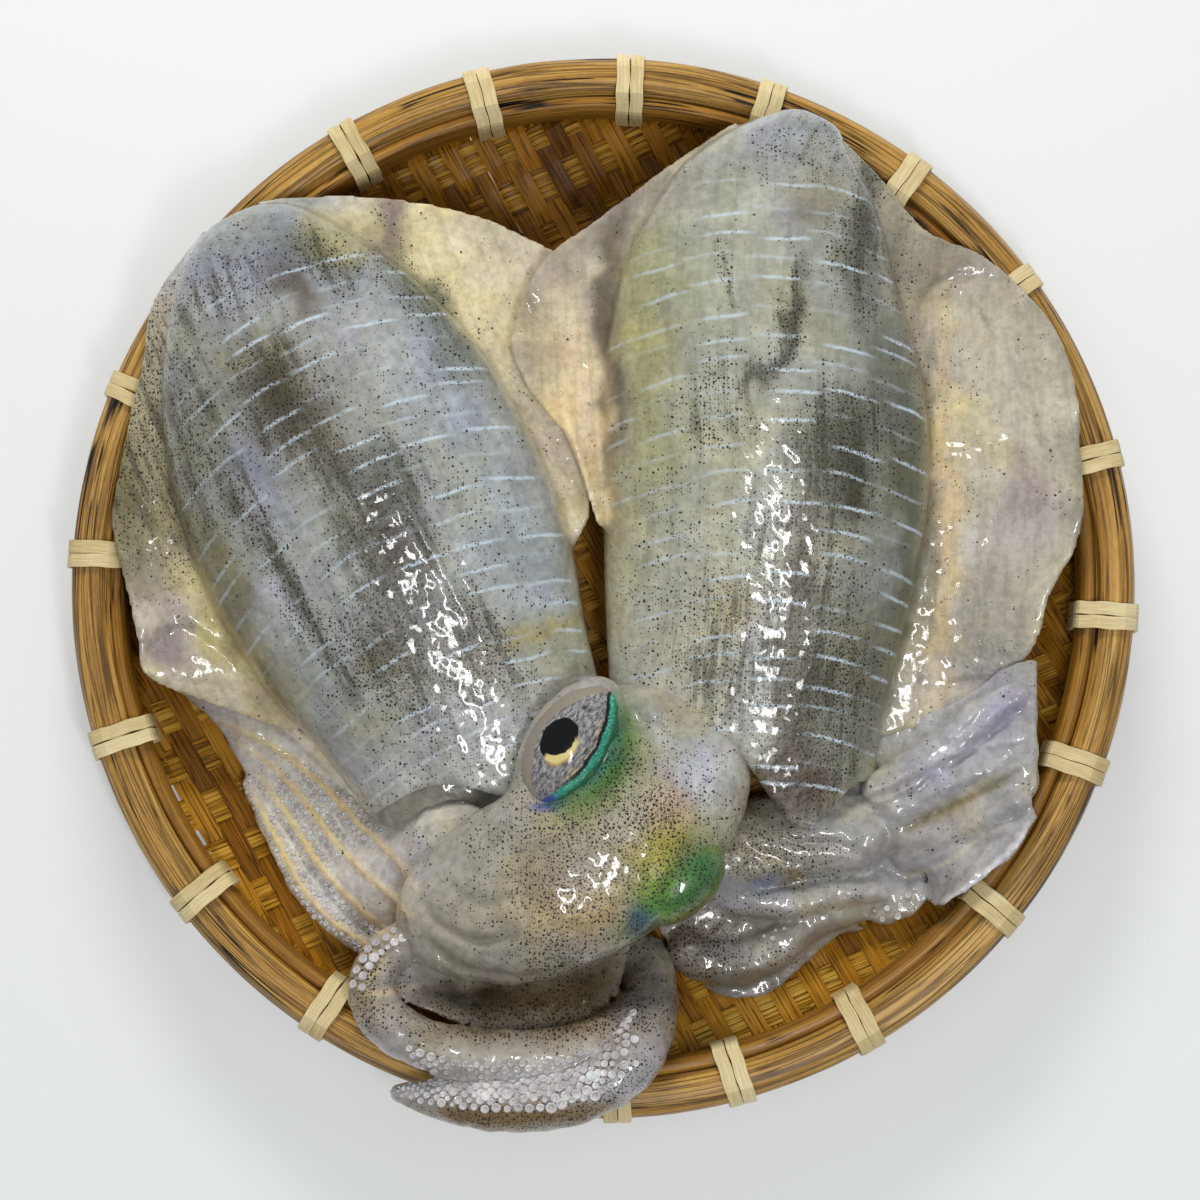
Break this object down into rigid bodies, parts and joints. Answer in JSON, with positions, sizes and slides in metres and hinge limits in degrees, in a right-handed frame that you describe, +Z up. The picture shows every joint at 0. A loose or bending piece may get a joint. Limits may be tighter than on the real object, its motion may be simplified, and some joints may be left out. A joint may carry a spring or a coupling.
{
  "type": "whole raw squid on a bamboo tray",
  "caption": "Whole raw squid with speckled mantles, fins, iridescent eyes and suckered arms, lying on a round woven bamboo tray with a lashed rim.",
  "frame": {"origin": "centre of the tray's flat underside", "axes": "+Z up; +Y towards the tray edge where the right squid's tail lies; +X to the right when the tails point away"},
  "size_m": [0.3027, 0.3029, 0.0583],
  "materials": {
    "woven_bamboo": "semi-gloss",
    "bent_bamboo": "semi-gloss",
    "lashing_cane": "satin",
    "mantle_skin": "wet",
    "fin_skin": "wet",
    "head_skin": "wet",
    "arm_skin": "wet",
    "eye": "wet"
  },
  "bodies": {
    "root": {"tray_mat_floor": "woven_bamboo", "tray_mat_flank": "woven_bamboo", "tray_mat_wall": "woven_bamboo", "tray_hoop_outer": "bent_bamboo", "tray_hoop_inner": "bent_bamboo", "tray_tie_01": "lashing_cane", "tray_tie_02": "lashing_cane", "tray_tie_03": "lashing_cane", "tray_tie_04": "lashing_cane", "tray_tie_05": "lashing_cane", "tray_tie_06": "lashing_cane", "tray_tie_07": "lashing_cane", "tray_tie_08": "lashing_cane", "tray_tie_09": "lashing_cane", "tray_tie_10": "lashing_cane", "tray_tie_11": "lashing_cane", "tray_tie_12": "lashing_cane", "tray_tie_13": "lashing_cane", "tray_tie_14": "lashing_cane", "tray_tie_15": "lashing_cane", "tray_tie_16": "lashing_cane", "tray_tie_17": "lashing_cane", "tray_tie_18": "lashing_cane", "tray_tie_19": "lashing_cane", "tray_tie_20": "lashing_cane", "left_squid_mantle": "mantle_skin", "right_squid_mantle": "mantle_skin", "left_squid_fin_outer_left": "fin_skin", "left_squid_fin_inner_right": "fin_skin", "right_squid_fin_inner_left": "fin_skin", "right_squid_fin_outer_right": "fin_skin", "left_squid_head": "head_skin", "right_squid_head": "head_skin", "right_squid_eye_upper": "eye", "right_squid_eye_lower": "eye", "right_squid_arm_1": "arm_skin", "right_squid_arm_2": "arm_skin", "right_squid_arm_3": "arm_skin", "right_squid_arm_4": "arm_skin", "right_squid_arm_5": "arm_skin", "right_squid_arm_6": "arm_skin", "left_squid_arm_1": "arm_skin", "left_squid_arm_2": "arm_skin", "left_squid_arm_3": "arm_skin", "left_squid_arm_4": "arm_skin", "left_squid_arm_5": "arm_skin", "left_squid_arm_6": "arm_skin", "left_squid_arm_7": "arm_skin", "left_squid_web_lower": "arm_skin", "left_squid_web_upper": "arm_skin", "right_squid_web": "arm_skin"}
  },
  "joints": []
}
